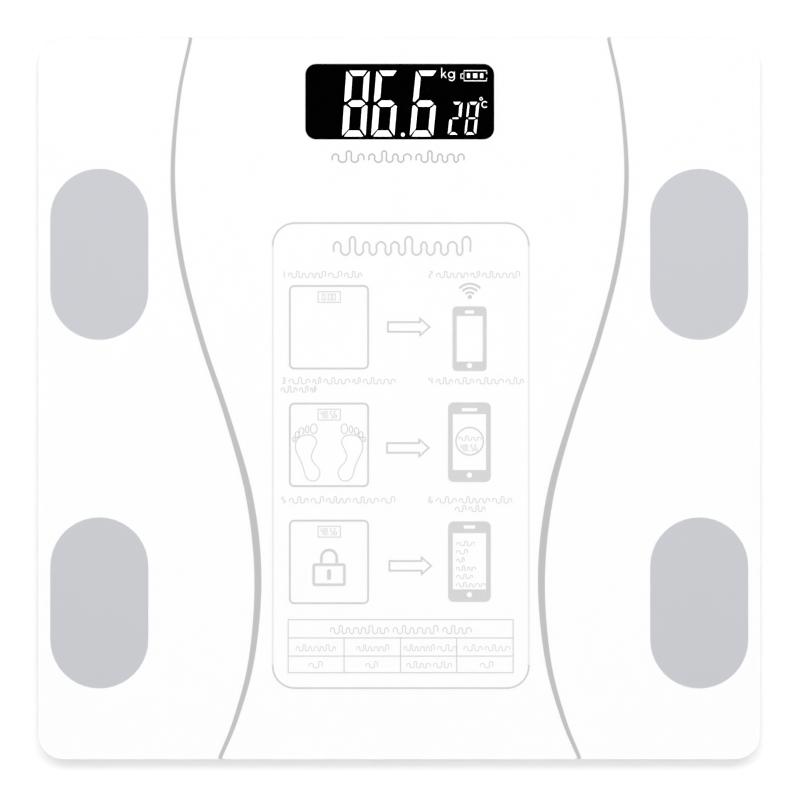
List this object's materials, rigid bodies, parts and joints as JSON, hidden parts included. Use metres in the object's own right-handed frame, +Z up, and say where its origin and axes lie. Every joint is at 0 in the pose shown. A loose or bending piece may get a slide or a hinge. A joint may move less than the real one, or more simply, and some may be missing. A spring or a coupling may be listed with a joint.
{
  "type": "digital bathroom scale",
  "caption": "Square glass-topped bathroom scale with steel foot electrodes, an under-glass display, sprung load-cell feet, a battery door and a unit button.",
  "frame": {"origin": "on the floor under the middle of the glass platform", "axes": "+Z up, +Y from the heel end towards the display, +X to the user's right when facing the display"},
  "size_m": [0.26, 0.26, 0.0247],
  "materials": {
    "platform_glass": "clear toughened float glass, polished edges with a green tint, printed white on its underside",
    "satin_steel": "satin stainless steel",
    "cell_steel": "stamped spring steel",
    "white_plastic": "white ABS with a fine spark texture",
    "grey_plastic": "grey ABS",
    "black_plastic": "black ABS",
    "foot_rubber": "dark grey rubber",
    "foam_tape": "white foam tape",
    "display_black": "black panel with lit white segments",
    "light_diffuser": "milky acrylic",
    "board_green": "green solder mask on glass laminate",
    "shield_tin": "tinned shield can",
    "gauge_film": "amber film",
    "battery_case": "plain printed sleeve, no marks",
    "lead_red": "PVC insulation",
    "lead_black": "PVC insulation"
  },
  "bodies": {
    "scale": {"glass_platform": "platform_glass", "electrode_back_left": "satin_steel", "electrode_back_right": "satin_steel", "electrode_front_left": "satin_steel", "electrode_front_right": "satin_steel", "electrode_nut_back_left": "satin_steel", "electrode_nut_back_right": "satin_steel", "electrode_nut_front_left": "satin_steel", "electrode_nut_front_right": "satin_steel", "electrode_lead_back_left": "lead_black", "electrode_lead_back_right": "lead_black", "electrode_lead_front_left": "lead_black", "electrode_lead_front_right": "lead_black", "glass_tape": "foam_tape", "base_tray": "white_plastic", "load_cell_bracket_back_left": "white_plastic", "load_cell_bracket_back_right": "white_plastic", "load_cell_bracket_front_left": "white_plastic", "load_cell_bracket_front_right": "white_plastic", "load_cell_back_left": "cell_steel", "load_cell_back_right": "cell_steel", "load_cell_front_left": "cell_steel", "load_cell_front_right": "cell_steel", "strain_gauge_back_left": "gauge_film", "strain_gauge_back_right": "gauge_film", "strain_gauge_front_left": "gauge_film", "strain_gauge_front_right": "gauge_film", "load_cell_lead_back_left": "lead_red", "load_cell_lead_back_right": "lead_red", "load_cell_lead_front_left": "lead_red", "load_cell_lead_front_right": "lead_red", "display_panel": "display_black", "display_backlight": "light_diffuser", "display_contact_strip": "foot_rubber", "display_holder": "black_plastic", "main_pcb": "board_green", "processor_chip": "black_plastic", "radio_module": "shield_tin", "unit_switch": "black_plastic", "temperature_sensor": "gauge_film", "pcb_screw_1": "satin_steel", "pcb_screw_2": "satin_steel", "battery_1": "battery_case", "battery_2": "battery_case", "battery_contact_plus": "satin_steel", "battery_contact_minus": "satin_steel", "battery_contact_bridge": "satin_steel", "battery_lead_plus": "lead_red", "battery_lead_minus": "lead_black"},
    "foot_back_left": {"foot_cup_back_left": "white_plastic", "foot_pad_back_left": "foot_rubber"},
    "foot_back_right": {"foot_cup_back_right": "white_plastic", "foot_pad_back_right": "foot_rubber"},
    "foot_front_left": {"foot_cup_front_left": "white_plastic", "foot_pad_front_left": "foot_rubber"},
    "foot_front_right": {"foot_cup_front_right": "white_plastic", "foot_pad_front_right": "foot_rubber"},
    "battery_door": {"battery_door": "white_plastic"},
    "unit_button": {"unit_button": "grey_plastic"}
  },
  "joints": [
    {"name": "foot_press_back_left", "type": "slide", "parent": "scale", "child": "foot_back_left", "axis": [0, 0, 1], "range_m": [0, 0.0008], "stiffness_N_per_m": 5000, "springref_m": -0.0012, "deforming": ["load_cell_back_left"]},
    {"name": "foot_press_back_right", "type": "slide", "parent": "scale", "child": "foot_back_right", "axis": [0, 0, 1], "range_m": [0, 0.0008], "stiffness_N_per_m": 5000, "springref_m": -0.0012, "deforming": ["load_cell_back_right"]},
    {"name": "foot_press_front_left", "type": "slide", "parent": "scale", "child": "foot_front_left", "axis": [0, 0, 1], "range_m": [0, 0.0008], "stiffness_N_per_m": 5000, "springref_m": -0.0012, "deforming": ["load_cell_front_left"]},
    {"name": "foot_press_front_right", "type": "slide", "parent": "scale", "child": "foot_front_right", "axis": [0, 0, 1], "range_m": [0, 0.0008], "stiffness_N_per_m": 5000, "springref_m": -0.0012, "deforming": ["load_cell_front_right"]},
    {"name": "battery_door_swing", "type": "hinge", "parent": "scale", "child": "battery_door", "pos_m": [0, 0.05415, 0.0035], "axis": [1, 0, 0], "range_deg": [0, 80]},
    {"name": "unit_button_press", "type": "slide", "parent": "scale", "child": "unit_button", "axis": [0, 0, 1], "range_m": [0, 0.0005], "stiffness_N_per_m": 800, "springref_m": -0.0005, "deforming": ["unit_switch"]}
  ]
}
